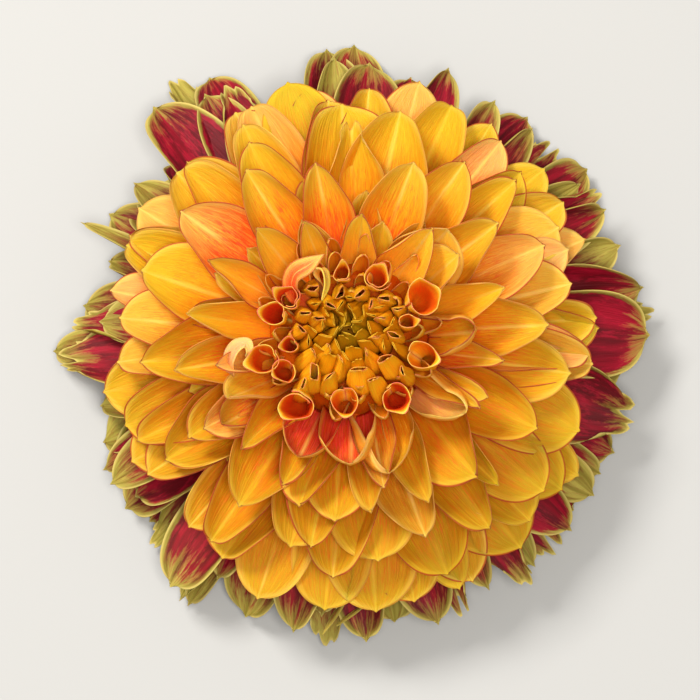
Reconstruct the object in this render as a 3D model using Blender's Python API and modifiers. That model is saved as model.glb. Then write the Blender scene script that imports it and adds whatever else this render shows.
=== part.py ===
"""A dahlia head as picked, lying face up on its outer petals and the cut end of its stem.

Metres, +Z up. The florets leave a point in the head, its heart, one golden angle apart, from the
closed buds in the middle to the crimson petals at the back. The origin lies on the surface that
the head rests on, under the middle of the bloom.
"""

import math
from collections import namedtuple

import bmesh
import bpy
import numpy as np
from mathutils import Matrix, Vector

MM = 0.001
SEED = 24

# Driving dimensions: the bloom is 150 mm across, and its heart lies this high over the surface.
HEART_Z = 24.6 * MM
GOLDEN_ANGLE = math.radians(137.508)
BLADE = 0.7 * MM
SEAT_GAP = 0.3 * MM
LOWEST_TIP = 0.5 * MM

# How far the cores reach from the heart, and the heights over the heart that part them.
# The florets start ROOT_DEPTH inside them.
ROOT_DEPTH = 3.0 * MM
GOLD_CORE_REACH = 31.0 * MM
GOLD_CORE_TILTS = (18.5, 38.0, 58.0, 75.0)
CRIMSON_CORE_RADIUS = 24.0 * MM
CRIMSON_CORE_UNDER_RADIUS = 18.0 * MM
CORE_PARTING = 4.6 * MM
CRIMSON_RIM = -1.0 * MM
CRIMSON_UNDER = -7.0 * MM
PLUG_TILT = math.radians(16.5)
PLUG_LOW = 12.0 * MM
PLUG_HIGH = 31.0 * MM

# The stem stub, the receptacle that it widens into, and the bracts round it. The papery ones grow
# from a collar of their own, the green ones from the receptacle. Roots are distances to the heart.
STEM_RADIUS = 4.6 * MM
STUB = 8.0 * MM
SHOULDER = (9.2 * MM, 11.0 * MM)
RECEPTACLE_RADIUS = 11.5 * MM
RECEPTACLE_FOOT = 13.0 * MM
CHAMFER = 0.5 * MM
COLLAR_WALL = 2.0 * MM
COLLAR_HEIGHT = 1.7 * MM
PAPERY_ROOT = 15.4 * MM
GREEN_ROOT = 14.4 * MM
GREEN_THICKNESS = 1.2 * MM

# A family of florets, from its innermost to its outermost. reach is the distance from the heart to
# the tip, tilt the tip's angle from the upright axis, arch how much more upright the root is,
# width the blade's width laid flat, roll the angle that it curls through at its widest, flare the
# growth of the curl's radius towards the tip, and wander how far tilt and azimuth stray.
Family = namedtuple("Family", "count reach tilt arch width roll flare wander")
Floret = namedtuple("Floret", "azimuth tilt arch reach width roll flare twist")

CLOSED = Family(
    count=34, reach=(37.0, 40.5), tilt=(0.0, 14.0), arch=(0.0, 0.0),
    width=(6.5, 8.0), roll=(355, 350), flare=(-0.7, -0.5), wander=0.2)
HALF_OPEN = Family(
    count=14, reach=(42.0, 44.5), tilt=(19.0, 22.5), arch=(0.0, 2.0),
    width=(8.5, 11.0), roll=(330, 310), flare=(-0.3, 0.0), wander=0.3)
ROLLED = Family(
    count=20, reach=(46.0, 50.0), tilt=(27.0, 35.0), arch=(4.0, 8.0),
    width=(13.0, 14.0), roll=(300, 190), flare=(0.2, 0.5), wander=0.8)
GOLD = Family(
    count=95, reach=(51.0, 64.5), tilt=(38.0, 88.0), arch=(10.0, 17.0),
    width=(12.0, 18.5), roll=(95, 60), flare=(0.3, 0.3), wander=0.9)
CRIMSON = Family(
    count=40, reach=(75.5, 76.0), tilt=(95.5, 110.0), arch=(13.0, 15.0),
    width=(17.5, 18.5), roll=(85, 75), flare=(0.3, 0.2), wander=0.9)

PAPERY_BRACTS = Family(
    count=8, reach=(26.5, 26.5), tilt=(109.0, 109.0), arch=(-35.5, -35.5),
    width=(11.0, 11.0), roll=(20, 20), flare=(0.0, 0.0), wander=0.3)
GREEN_BRACTS = Family(
    count=6, reach=(28.5, 28.5), tilt=(136.5, 136.5), arch=(4.0, 4.0),
    width=(7.0, 7.0), roll=(35, 35), flare=(0.0, 0.0), wander=0.4)

# Blade outline: it widens from the root by one power and narrows to the tip by another.
WIDEN, NARROW = 1.6, 0.62
WIDEST_AT = WIDEN / (WIDEN + NARROW)
WIDEST = WIDEST_AT ** WIDEN * (1 - WIDEST_AT) ** NARROW
KEEL = 0.035

# A closed floret is a spindle: its belly's share of the reach, and the radii of its blunt tip and
# its foot as shares of the belly's.
BELLY_AT = 0.84
BUD_TIP = 0.28
BUD_FOOT = 0.6


def clear_scene():
    for found in list(bpy.data.objects):
        bpy.data.objects.remove(found)


def collection(name):
    made = bpy.data.collections.new(name)
    bpy.context.scene.collection.children.link(made)
    return made


def material(name, colour, roughness):
    made = bpy.data.materials.new(name)
    made.use_nodes = True
    shader = made.node_tree.nodes["Principled BSDF"]
    shader.inputs["Base Color"].default_value = (*colour, 1.0)
    shader.inputs["Roughness"].default_value = roughness
    shader.inputs["Metallic"].default_value = 0.0
    return made


def between(ends, share):
    return ends[0] + (ends[1] - ends[0]) * share


def lowest_tilt(reach):
    """The tilt at which a tip that far from the heart just clears the surface."""
    return math.acos((LOWEST_TIP - HEART_Z) / reach)


def florets(family, first, rng, step=GOLDEN_ANGLE):
    """The family's florets, one step of azimuth apart, the first one being number first."""
    made = []
    for number in range(family.count):
        share = number / (family.count - 1)
        stray = rng.uniform(-1, 1, 5)
        reach = between(family.reach, share) * MM * (1 + 0.012 * family.wander * stray[0])
        tilt = math.radians(between(family.tilt, share) + 0.7 * family.wander * stray[1])
        made.append(Floret(
            azimuth=(first + number) * step + math.radians(1.2 * family.wander * stray[2]),
            tilt=min(tilt, lowest_tilt(reach)),
            arch=math.radians(between(family.arch, share)),
            reach=reach,
            width=between(family.width, share) * MM,
            roll=math.radians(between(family.roll, share)) * (1 + 0.07 * family.wander * stray[3]),
            flare=between(family.flare, share),
            twist=math.radians(4.0 * family.wander * stray[4]),
        ))
    return made


def blade_point(floret, along, across):
    """A point of the blade's middle surface: along runs from 0 at the heart to 1 at the tip, and
    across from -1 to 1. The blade curls round a line over its middle, as paper round a rod."""
    tilt = floret.tilt - floret.arch * (1 - along)
    out = Vector((math.cos(floret.azimuth), math.sin(floret.azimuth), 0))
    up = Vector((0, 0, 1))
    ray = out * math.sin(tilt) + up * math.cos(tilt)
    fall = out * math.cos(tilt) - up * math.sin(tilt)
    run = (ray + fall * floret.arch * along).normalized()
    side = up.cross(out)
    inward = run.cross(side)
    turn = Matrix.Rotation(floret.twist * along, 3, run)
    width = floret.width * along ** WIDEN * (1 - along) ** NARROW / WIDEST
    radius = floret.width / floret.roll * (1 + floret.flare * (along - WIDEST_AT))
    angle = across * width / 2 / radius
    lift = radius * (1 - math.cos(angle)) + KEEL * width * abs(across)
    sideways = turn @ side * (radius * math.sin(angle))
    return ray * floret.reach * along + sideways + turn @ inward * lift


def mesh_object(name, bm, group):
    mesh = bpy.data.meshes.new(name)
    bm.to_mesh(mesh)
    bm.free()
    made = bpy.data.objects.new(name, mesh)
    group.objects.link(made)
    return made


def blade(floret, start, steps, strips, group, thickness=BLADE):
    """A thin solid blade from that distance from the heart to its tip."""
    bm = bmesh.new()
    bmesh.ops.create_grid(bm, x_segments=steps, y_segments=strips, size=0.5)
    root = start / floret.reach
    for corner in bm.verts:
        along = root + (1 - root) * math.sin((corner.co.x + 0.5) * math.pi / 2)
        corner.co = blade_point(floret, min(along, 1.0), 2 * corner.co.y)
    bmesh.ops.remove_doubles(bm, verts=bm.verts, dist=0.02 * MM)
    made = mesh_object("blade", bm, group)
    shell = made.modifiers.new("thickness", "SOLIDIFY")
    shell.thickness = thickness
    shell.offset = 0
    return made


def bud(floret, start, sides, group):
    """A closed floret: a slim spindle along its ray, from that distance from the heart."""
    belly = floret.width / floret.roll
    high = floret.reach
    profile = [(0, high), (BUD_TIP * belly, high), (belly, BELLY_AT * high),
               (BUD_FOOT * belly, start), (0, start)]
    made = turned("bud", profile, group, sides)
    made.rotation_euler = (0, floret.tilt, floret.azimuth)


def turned(name, profile, group, steps=24, ring=False):
    """A solid turned about the upright axis. The profile, of (radius, height), runs down the outer
    side; it starts and ends on the axis, or closes on itself for a ring."""
    mesh = bpy.data.meshes.new(name)
    sides = [(n, n + 1) for n in range(len(profile) - 1)]
    if ring:
        sides.append((len(profile) - 1, 0))
    mesh.from_pydata([(radius, 0, height) for radius, height in profile], sides, [])
    made = bpy.data.objects.new(name, mesh)
    group.objects.link(made)
    screw = made.modifiers.new("turn", "SCREW")
    screw.steps = screw.render_steps = steps
    screw.use_merge_vertices = True
    screw.merge_threshold = 0.00001
    return made


def islands(bm):
    """The mesh's separate surfaces, each as a set of corners."""
    left = set(bm.verts)
    found = []
    while left:
        island, edge = set(), [left.pop()]
        while edge:
            corner = edge.pop()
            island.add(corner)
            near = {side.other_vert(corner) for side in corner.link_edges} & left
            left -= near
            edge += near
        found.append(island)
    return found


def keep_outside(mesh):
    """Fills the hollows that fusing sealed and drops loose scraps, leaving the outer surface."""
    bm = bmesh.new()
    bm.from_mesh(mesh)
    surfaces = sorted(islands(bm), key=len)
    inner = [corner for surface in surfaces[:-1] for corner in surface]
    bmesh.ops.delete(bm, geom=inner, context="VERTS")
    bm.to_mesh(mesh)
    bm.free()


def dress(made, name, colour, roughness):
    """Names a finished solid and gives it a material of its own."""
    made.name = name
    made.data.name = name
    made.data.materials.append(material(name, colour, roughness))
    made.data.shade_smooth()
    made.data.set_sharp_from_angle(angle=math.radians(35))


def fuse(core, blades, flower):
    """One solid of a core and the blades of a collection, whose objects are then removed."""
    joined = core.modifiers.new("join", "BOOLEAN")
    joined.operation = "UNION"
    joined.operand_type = "COLLECTION"
    joined.collection = blades
    joined.solver = "MANIFOLD"
    graph = bpy.context.evaluated_depsgraph_get()
    mesh = bpy.data.meshes.new_from_object(core.evaluated_get(graph))
    for used in [core, *blades.objects]:
        bpy.data.objects.remove(used)
    bpy.data.collections.remove(blades)
    keep_outside(mesh)
    mesh.materials.clear()
    made = bpy.data.objects.new("fused", mesh)
    made.location.z = HEART_Z
    flower.objects.link(made)
    return made


def on_ray(reach, tilt):
    """(radius, height) of the point that far from the heart on a ray of that tilt."""
    return reach * math.sin(tilt), reach * math.cos(tilt)


def gold_core(group):
    """The part of the head that the gold florets grow from, with a socket for the plug."""
    dome = [on_ray(GOLD_CORE_REACH, math.radians(tilt)) for tilt in GOLD_CORE_TILTS]
    slope = math.tan(PLUG_TILT)
    high = dome[0][1]
    low = PLUG_LOW - SEAT_GAP
    socket = [(0, low), (low * slope + SEAT_GAP, low), (high * slope + SEAT_GAP, high)]
    under = CORE_PARTING + SEAT_GAP
    profile = [*socket, *dome, (CRIMSON_CORE_RADIUS, under), (0, under)]
    return turned("gold_core", profile, group, 18)


def plug_core(group):
    """The cone at the head's middle that the closed buds grow from."""
    slope = math.tan(PLUG_TILT)
    profile = [(0, PLUG_HIGH), (PLUG_HIGH * slope - SEAT_GAP, PLUG_HIGH),
               (PLUG_LOW * slope, PLUG_LOW), (0, PLUG_LOW)]
    return turned("plug_core", profile, group)


def crimson_core(group):
    """The disc under the gold core that the crimson petals grow from."""
    profile = [(0, CORE_PARTING), (CRIMSON_CORE_RADIUS, CORE_PARTING),
               (CRIMSON_CORE_RADIUS, CRIMSON_RIM), (CRIMSON_CORE_UNDER_RADIUS, CRIMSON_UNDER),
               (0, CRIMSON_UNDER)]
    return turned("crimson_core", profile, group)


def collar(group):
    """The ring round the receptacle's top that the papery bracts grow from."""
    inner = RECEPTACLE_RADIUS + SEAT_GAP
    outer = inner + COLLAR_WALL
    high = CRIMSON_UNDER - SEAT_GAP
    low = high - COLLAR_HEIGHT
    profile = [(inner, high), (outer, high), (outer, low), (inner, low)]
    return turned("collar", profile, group, 32, ring=True)


def stem(group):
    """The stub of the stem, cut flat where it stands, and the cushion that it widens into."""
    high = CRIMSON_UNDER - SEAT_GAP
    profile = [
        (0, high), (RECEPTACLE_RADIUS - CHAMFER, high), (RECEPTACLE_RADIUS, high - CHAMFER),
        (RECEPTACLE_RADIUS, RECEPTACLE_FOOT - HEART_Z), (SHOULDER[0], SHOULDER[1] - HEART_Z),
        (STEM_RADIUS, STUB - HEART_Z), (STEM_RADIUS, CHAMFER - HEART_Z),
        (STEM_RADIUS - CHAMFER, -HEART_Z), (0, -HEART_Z)]
    return turned("stem", profile, group, 32)


def main():
    clear_scene()
    flower = collection("dahlia_flower")
    rng = np.random.default_rng(SEED)
    heads = []
    first = 0
    for family in (CLOSED, HALF_OPEN, ROLLED, GOLD, CRIMSON):
        heads.append(florets(family, first, rng))
        first += family.count
    closed, half_open, rolled, gold, crimson = heads

    grown = collection("closed_buds")
    for floret in closed:
        bud(floret, PLUG_HIGH - ROOT_DEPTH, 5, grown)
    dress(fuse(plug_core(flower), grown, flower), "centre_buds", (0.62, 0.42, 0.03), 0.6)

    grown = collection("gold_blades")
    gold_root = GOLD_CORE_REACH - ROOT_DEPTH
    for floret in half_open:
        bud(floret, gold_root, 5, grown)
    for floret in rolled:
        blade(floret, gold_root, 2, 5, grown)
    for floret in gold:
        blade(floret, gold_root, 3, 3, grown)
    dress(fuse(gold_core(flower), grown, flower), "gold_petals", (0.95, 0.52, 0.06), 0.55)

    grown = collection("crimson_blades")
    for floret in crimson:
        blade(floret, CRIMSON_CORE_RADIUS - ROOT_DEPTH, 3, 3, grown)
    dress(fuse(crimson_core(flower), grown, flower), "crimson_petals", (0.42, 0.01, 0.03), 0.55)

    grown = collection("papery_blades")
    for bract in florets(PAPERY_BRACTS, 0, rng, math.tau / PAPERY_BRACTS.count):
        blade(bract, PAPERY_ROOT, 3, 2, grown)
    dress(fuse(collar(flower), grown, flower), "papery_bracts", (0.30, 0.24, 0.06), 0.7)

    grown = collection("green_blades")
    for bract in florets(GREEN_BRACTS, 0.5, rng, math.tau / GREEN_BRACTS.count):
        blade(bract, GREEN_ROOT, 3, 2, grown, GREEN_THICKNESS)
    dress(fuse(stem(flower), grown, flower), "stem_and_green_bracts", (0.16, 0.29, 0.05), 0.6)


main()
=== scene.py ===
"""Dresses the dahlia head: fine petals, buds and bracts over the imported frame, camera and light."""

import math
from collections import namedtuple

import bpy
import numpy as np
from mathutils import Matrix, Vector


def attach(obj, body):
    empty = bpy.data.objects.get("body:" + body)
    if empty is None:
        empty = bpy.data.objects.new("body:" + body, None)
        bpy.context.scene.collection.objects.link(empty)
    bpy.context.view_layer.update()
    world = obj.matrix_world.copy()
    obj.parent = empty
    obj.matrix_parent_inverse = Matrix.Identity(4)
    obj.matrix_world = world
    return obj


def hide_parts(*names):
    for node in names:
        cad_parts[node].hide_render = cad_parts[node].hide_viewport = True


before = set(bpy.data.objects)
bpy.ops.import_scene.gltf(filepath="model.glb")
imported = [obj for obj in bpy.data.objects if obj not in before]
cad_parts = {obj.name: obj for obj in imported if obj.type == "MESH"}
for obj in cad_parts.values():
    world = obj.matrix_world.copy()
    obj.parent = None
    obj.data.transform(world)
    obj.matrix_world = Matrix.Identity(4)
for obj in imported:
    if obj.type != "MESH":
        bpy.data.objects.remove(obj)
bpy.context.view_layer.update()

MM = 0.001
SEED = 24
GOLDEN_ANGLE = math.radians(137.508)
HEART_Z = 24.6 * MM
LOWEST_TIP = 0.5 * MM

# The photograph is 700 pixels square, and the bloom is 594 pixels across, or 150 mm. It is seen
# from almost above, a little from the front.
HALF_PHOTO = 350.0
BLOOM_MIDDLE = (354.0, 347.0)
EYE, EYE_RADIUS = (348.0, 328.0), 34.0
PIXEL = 150.0 * MM / 594.0
DISTANCE = 1.0
LEAN_FRONT = math.radians(6.0)
LEAN_RIGHT = math.radians(2.0)
AIM_HEIGHT = 15.0 * MM

# The families of florets of the solids, by the same rule. The closed, half-open and rolled ones
# come first in their draws, but the scene has its own.
INNER_FLORETS = 68
Family = namedtuple("Family", "count reach tilt arch width roll flare wander")
Floret = namedtuple("Floret", "azimuth tilt arch reach width roll flare twist rank")
GOLD = Family(95, (51.0, 64.5), (38.0, 88.0), (10.0, 17.0), (12.0, 18.5), (95, 60), (0.3, 0.3), 0.9)
CRIMSON = Family(40, (75.5, 76.0), (95.5, 110.0), (13.0, 15.0), (17.5, 18.5), (85, 75), (0.3, 0.2), 0.9)
PAPERY = Family(8, (26.5, 26.5), (109.0, 109.0), (-35.5, -35.5), (11.0, 11.0), (20, 20), (0.0, 0.0), 0.3)
GREEN = Family(6, (28.5, 28.5), (136.5, 136.5), (4.0, 4.0), (7.0, 7.0), (35, 35), (0.0, 0.0), 0.4)
# How far a floret strays at most: shares of reach and roll, and degrees of tilt, azimuth and twist.
STRAY_REACH, STRAY_ROLL = 0.012, 0.07
STRAY_TILT, STRAY_AZIMUTH, STRAY_TWIST = 0.7, 1.2, 4.0
# The powers of a blade's outline, below and above its widest place.
WIDEN, NARROW = 1.6, 0.62

# How each kind is built: how far from the heart its root is, its steps along and strips across, and
# its thickness.
Build = namedtuple("Build", "root steps strips thickness")
OPEN_BUILD = Build(24.5 * MM, 28, 16, 0.42 * MM)
YOUNG_BUILD = Build(24.5 * MM, 20, 12, 0.42 * MM)
CUP_BUILD = Build(28.0 * MM, 32, 28, 0.42 * MM)
TUBE_BUILD = Build(28.0 * MM, 26, 38, 0.34 * MM)
HOOD_BUILD = Build(28.0 * MM, 28, 32, 0.34 * MM)
DEEP_BUILD = Build(28.0 * MM, 20, 16, 0.34 * MM)
BUD_BUILD = Build(28.0 * MM, 24, 24, 0.30 * MM)
CRIMSON_BUILD = Build(21.0 * MM, 32, 18, 0.42 * MM)
PAPERY_BUILD = Build(15.4 * MM, 20, 12, 0.45 * MM)
GREEN_BUILD = Build(14.4 * MM, 20, 12, 1.1 * MM)
RIBBON_BUILD = Build(0.0, 40, 10, 0.36 * MM)
BACK_RIBBON_BUILD = Build(0.0, 30, 8, 0.36 * MM)

# The dome that the florets' tips lie on: tilts in degrees, and how far they are from the heart.
DOME_TILTS = (0.0, 14.0, 22.0, 27.0, 35.0, 38.0, 88.0)
DOME_REACHES = (37.0, 40.5, 44.0, 46.0, 50.0, 51.0, 64.5)

# Places read in the photograph, in pixels. Open gold florets: tip, width, red flush, and
# hue from peach (0) to olive gold (10), these two in tenths.
GOLD_TIPS = (
    (362, 215, 37, 9, 5), (304, 222, 31, 5, 4), (257, 229, 46, 7, 4), (447, 230, 62, 8, 3),
    (432, 229, 50, 9, 4), (497, 224, 60, 1, 4), (503, 288, 42, 3, 5), (547, 325, 60, 5, 4),
    (503, 360, 32, 8, 4), (536, 428, 60, 3, 6), (487, 397, 24, 3, 5), (479, 408, 26, 2, 4),
    (476, 476, 68, 2, 6), (497, 484, 32, 1, 8), (384, 487, 42, 4, 3), (371, 511, 42, 3, 7),
    (428, 501, 38, 1, 7), (283, 484, 40, 4, 6), (242, 448, 42, 4, 6), (240, 505, 74, 3, 7),
    (228, 398, 38, 5, 4), (205, 428, 44, 8, 2), (176, 370, 50, 7, 5), (188, 314, 40, 3, 6),
    (209, 261, 36, 8, 4), (217, 365, 34, 0, 0), (142, 362, 70, 2, 5), (182, 212, 70, 10, 2),
    (178, 174, 74, 1, 4), (188, 163, 62, 0, 4), (236, 114, 60, 0, 3), (244, 126, 56, 0, 4),
    (250, 144, 60, 1, 5), (247, 171, 58, 5, 4), (316, 164, 52, 8, 4), (413, 164, 60, 5, 4),
    (352, 122, 58, 1, 5), (342, 106, 84, 0, 5), (400, 113, 80, 0, 5), (328, 102, 62, 0, 4),
    (369, 90, 62, 0, 4), (419, 83, 56, 1, 2), (288, 84, 62, 2, 9), (311, 90, 52, 2, 2), (252, 108, 58, 1, 2),
    (451, 107, 60, 0, 6), (491, 125, 48, 0, 5), (500, 142, 48, 4, 1), (464, 163, 62, 1, 4),
    (520, 173, 54, 0, 8), (515, 181, 52, 1, 5), (543, 170, 48, 1, 6), (562, 203, 60, 1, 4),
    (557, 228, 68, 1, 3), (584, 240, 50, 1, 2), (543, 246, 64, 3, 2), (567, 250, 50, 2, 1),
    (570, 284, 60, 1, 3), (595, 318, 50, 1, 5), (597, 328, 46, 1, 6), (588, 354, 50, 2, 1),
    (591, 364, 58, 3, 3), (569, 373, 60, 2, 5), (578, 430, 66, 1, 6), (577, 475, 50, 1, 5),
    (561, 489, 64, 1, 7), (543, 490, 62, 1, 6), (529, 520, 70, 1, 6), (520, 547, 78, 1, 6),
    (489, 527, 60, 1, 6), (472, 580, 58, 1, 3), (459, 588, 44, 1, 7), (447, 573, 78, 1, 8),
    (414, 600, 60, 1, 6), (376, 610, 76, 1, 6), (378, 559, 70, 2, 7), (333, 576, 78, 2, 5),
    (291, 545, 60, 3, 7), (311, 546, 66, 2, 6), (258, 597, 62, 1, 5), (325, 608, 64, 1, 7),
    (223, 557, 66, 2, 6), (190, 526, 46, 3, 5), (133, 461, 60, 2, 5), (149, 474, 60, 1, 5),
    (167, 459, 70, 1, 7), (105, 392, 66, 1, 5), (119, 362, 50, 2, 3), (112, 291, 46, 1, 1),
    (121, 318, 58, 2, 3), (143, 271, 68, 1, 5), (128, 246, 60, 0, 5), (140, 209, 60, 0, 2),
    (131, 236, 56, 1, 4), (190, 437, 56, 3, 6), (127, 425, 58, 2, 7), (139, 440, 50, 2, 6),
    (212, 540, 56, 2, 6), (425, 535, 62, 1, 3), (300, 505, 50, 4, 6), (458, 255, 46, 4, 4),
    (335, 520, 56, 4, 6),
)
# Half-rolled cups: tip, width, roll in degrees, fold of one edge, red flush and tint, pale below 0, partly a
# painted highlight.
CUPS = (
    (466, 412, 58, 150, 1.0, 0.3, -0.15), (389, 473, 74, 120, -1.1, 0.2, 0.0),
    (350, 464, 66, 130, 0.5, 1.0, 0.75), (298, 456, 56, 110, 0.3, 1.0, 0.8),
    (475, 328, 56, 165, 0.7, 0.3, 0.0), (222, 424, 42, 90, 0.6, 0.9, 0.1),
)
# Rolled florets: middle of the mouth, its radius, turns of overlap, red inside.
TUBES = (
    (344, 401, 14, 1.02, 0.7), (396, 398, 15, 1.05, 1.0), (295, 406, 17, 1.25, 0.8),
    (283, 370, 12, 1.0, 0.9), (421, 355, 15, 1.0, 0.3), (424, 297, 18, 1.0, 0.5), (262, 358, 15, 1.1, 0.6),
    (377, 276, 12, 1.6, 0.5), (342, 272, 9, 1.3, 0.4), (287, 296, 12, 1.5, 1.0), (272, 312, 12, 1.1, 1.0),
    (408, 321, 9, 1.0, 0.5), (288, 344, 8, 1.0, 1.0),
)
# Half-open florets: end, radius of the body, and how wide the mouth is as a share of it.
HOODS = (
    (359, 373, 13.5, 0.28), (387, 361, 12, 0.45), (340, 362, 10.5, 0.1), (311, 353, 9.5, 0.2),
    (396, 335, 8, 0.5), (387, 296, 9.5, 0.32), (312, 374, 12, 0.55), (311, 286, 9, 0.45),
    (329, 303, 8.5, 0.35), (317, 317, 8.5, 0.25), (340, 290, 9, 0.5), (384, 317, 9, 0.2), (361, 291, 8, 0.4),
    (299, 329, 8.5, 0.35), (373, 302, 8, 0.3), (328, 379, 10, 0.2), (374, 382, 10, 0.3), (302, 385, 9, 0.3),
    (404, 372, 8, 0.3), (400, 308, 7.5, 0.35), (368, 354, 9, 0.12), (327, 349, 8, 0.25), (303, 312, 8, 0.3),
    (379, 338, 8.5, 0.2),
)
# Closed buds of the eye: tip and width.
BUDS = (
    (348, 334, 13), (337, 345, 15), (351, 348, 16), (318, 347, 14), (384, 345, 13), (364, 341, 14),
    (308, 340, 14), (357, 360, 12), (325, 336, 13), (312, 329, 13), (333, 320, 13), (345, 319, 12),
    (357, 321, 12), (370, 327, 13), (388, 328, 13), (379, 306, 13), (364, 310, 12), (351, 307, 12),
    (340, 305, 12), (326, 312, 12), (393, 322, 12), (336, 331, 12), (358, 333, 12), (372, 314, 12),
    (322, 324, 12), (350, 297, 12), (374, 335, 13), (345, 356, 13), (347, 325, 11), (341, 327, 11),
    (353, 327, 11), (343, 337, 12), (340, 312, 11), (354, 314, 11), (331, 355, 13), (395, 346, 12),
    (316, 303, 11),
)
# Narrow, twisted and folded florets: where each runs, as ribbon() takes it, then its hue, flush and
# tint, where a tint below 0 is pale, partly a painted highlight.
RIBBONS = (
    (((312, 278, -14, 6, 0, 60), (315, 266, -4, 11, 40, 80), (324, 272, 0, 12, 60, 80),
      (327, 287, 1, 8, 60, 60), (322, 301, 0.5, 1, 50, 40)), 0.9, 0.2, -0.15),
    (((304, 300, -16, 8, 0, 40), (284, 284, -7, 20, 10, 50), (290, 271, -3, 24, 10, 60),
      (306, 262, -2, 20, 0, 60), (323, 250, -2, 1, 0, 40)), 0.15, 0.9, 0.4),
    (((214, 378, -6, 10, 0, 30), (219, 361, -4, 18, 12, 40), (229, 348, -3, 19, 25, 60),
      (239, 344, -3, 13, 45, 80), (242, 352, -3, 7, 60, 80), (236, 358, -4, 2, 40, 60)), 0.1, 0.1, -0.35),
)
# The same of the crimson florets, with how far olive runs over each.
BACK_RIBBONS = (
    (((350, 597, 0, 5, 0, 40), (343, 603, 0, 8, 20, 60), (333, 614, 1, 7, 50, 60),
      (323, 631, 1, 1, 40, 40)), 1.0),
    (((372, 598, 0, 4, 0, 40), (361, 603, 1, 6, 20, 60), (348, 609, 2, 5, 50, 60),
      (337, 618, 2, 1, 40, 40)), 1.0),
)
BACK_RIBBON_TILT = math.radians(95.3)
# Crimson florets: tip, width, 1 where it lies low, and how far olive runs over it.
CRIMSON_TIPS = (
    (156, 110, 60, 0, 0.45), (174, 83, 46, 1, 0.9), (207, 98, 44, 0, 0.4), (211, 81, 50, 1, 0.3),
    (228, 89, 44, 0, 0.4), (137, 185, 32, 0, 0.8), (113, 216, 44, 1, 0.6), (85, 224, 12, 0, 0.9),
    (112, 262, 36, 1, 0.7), (87, 306, 42, 1, 0.65), (104, 322, 42, 0, 0.7), (76, 325, 40, 0, 0.5),
    (57, 351, 34, 1, 0.7), (60, 360, 50, 0, 0.5), (104, 405, 46, 1, 0.75), (107, 468, 34, 1, 0.4),
    (114, 482, 40, 0, 0.7), (139, 494, 56, 0, 0.3), (129, 506, 50, 1, 0.5), (154, 543, 32, 1, 0.9),
    (168, 558, 24, 1, 0.9), (173, 583, 52, 0, 0.6), (182, 597, 24, 1, 0.9), (190, 602, 26, 1, 0.9),
    (219, 576, 34, 0, 0.4), (247, 613, 56, 1, 0.7), (294, 628, 46, 0, 0.6), (327, 641, 52, 1, 0.7),
    (322, 612, 40, 0, 0.5), (366, 637, 44, 0, 0.5), (394, 618, 46, 1, 1.0), (437, 620, 50, 0, 0.5),
    (464, 613, 34, 0, 0.4), (487, 586, 30, 0, 0.5), (528, 581, 38, 0, 0.5), (532, 563, 28, 1, 0.9),
    (556, 550, 54, 1, 0.4), (568, 528, 48, 0, 0.3), (590, 493, 38, 0, 0.9), (597, 472, 28, 1, 0.6),
    (610, 451, 50, 1, 0.3), (634, 418, 76, 0, 0.45), (645, 335, 78, 0, 0.4), (650, 312, 34, 1, 0.7),
    (639, 288, 60, 0, 0.45), (616, 247, 34, 0, 0.9), (602, 211, 40, 0, 0.5), (597, 194, 36, 0, 0.4),
    (584, 171, 40, 1, 0.5), (577, 186, 26, 0, 0.9), (554, 148, 50, 1, 0.4), (530, 131, 26, 0, 0.6),
    (525, 120, 42, 1, 0.3), (493, 104, 30, 0, 0.6), (447, 72, 34, 0, 0.4), (410, 81, 44, 1, 0.1),
    (354, 49, 50, 1, 0.5), (369, 67, 56, 0, 0.5), (334, 61, 34, 0, 0.9), (327, 53, 54, 1, 0.5),
)
# The florets, by their place in those lists, whose tips are split or ragged.
GOLD_SPLIT = (36,)
SPLIT = (13, 32, 36, 41, 50)
RAGGED = (1, 4, 11, 19, 27, 34, 43, 47)

# Rolls and arches in degrees, from the eye to the back. Curled and partly hidden, a petal is
# WIDTH_GAIN times as wide as it shows.
OPEN_ROLLS, OPEN_ARCHES = (100, 62), (-3, 16)
CUP_ARCHES = (-14, 6)
CRIMSON_ROLLS, CRIMSON_ARCHES = (70, 70), (14, 14)
WIDTH_GAIN = 1.28
# Bodies of petals keep BODY_GAP degrees of tilt apart at this share of their length from the tip.
# They make up a share SETTLING of what is missing in each of the rounds, within the limits of arch,
# and a side that lies under another petal keeps a share FLATTENED of its roll.
BODY_GAP, BODY_SHARE = 3.6, 0.35
ARCH_LIMITS = (-12.0, 24.0)
SETTLING, ROUNDS = 0.12, 60
FLATTENED = 0.12
# Gold petals of the solids stand this far from those read in the photograph, and none near a cup.
SPACING = 14.0 * MM
FILLER_REACH = 0.94
CUP_SPACING = 9.0 * MM
RING_RANKS = (0.35, 0.75)
# Young florets: places tried, the cosine of the least angle to a petal, the least distance from a
# mouth, and their form.
YOUNG_PLACES = 260
YOUNG_SPACING = math.cos(math.radians(10.5))
MOUTH_SPACING = 15 * MM
YOUNG_TILTS, YOUNG_REACHES, YOUNG_WIDTH = (43, 82), (39, 48), 13 * MM
# Below this row of the photograph florets of the eye lean in more, and show their outer walls.
LOWER_ROW, LOWER_BEND = 345, 1.8
# Lower florets of the eye, ring by ring: how many, tilt in degrees and reach in millimetres.
DEEP_RINGS = ((9, 14.0, 37.0), (14, 21.0, 39.0), (18, 27.0, 41.0), (15, 33.0, 42.5))
DEEP_WIDTH, DEEP_GAP = 7.0 * MM, 0.2 * MM
# Crimson petals: tilts high and low in degrees, and those of the solids, shorter and wider.
CRIMSON_TILTS, CRIMSON_STRAY = (97, 105), 0.7
CRIMSON_SPACING = math.radians(5)
CRIMSON_REACH, CRIMSON_WIDTH, CRIMSON_LIMIT = 0.94, 1.15, math.radians(109)

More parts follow.
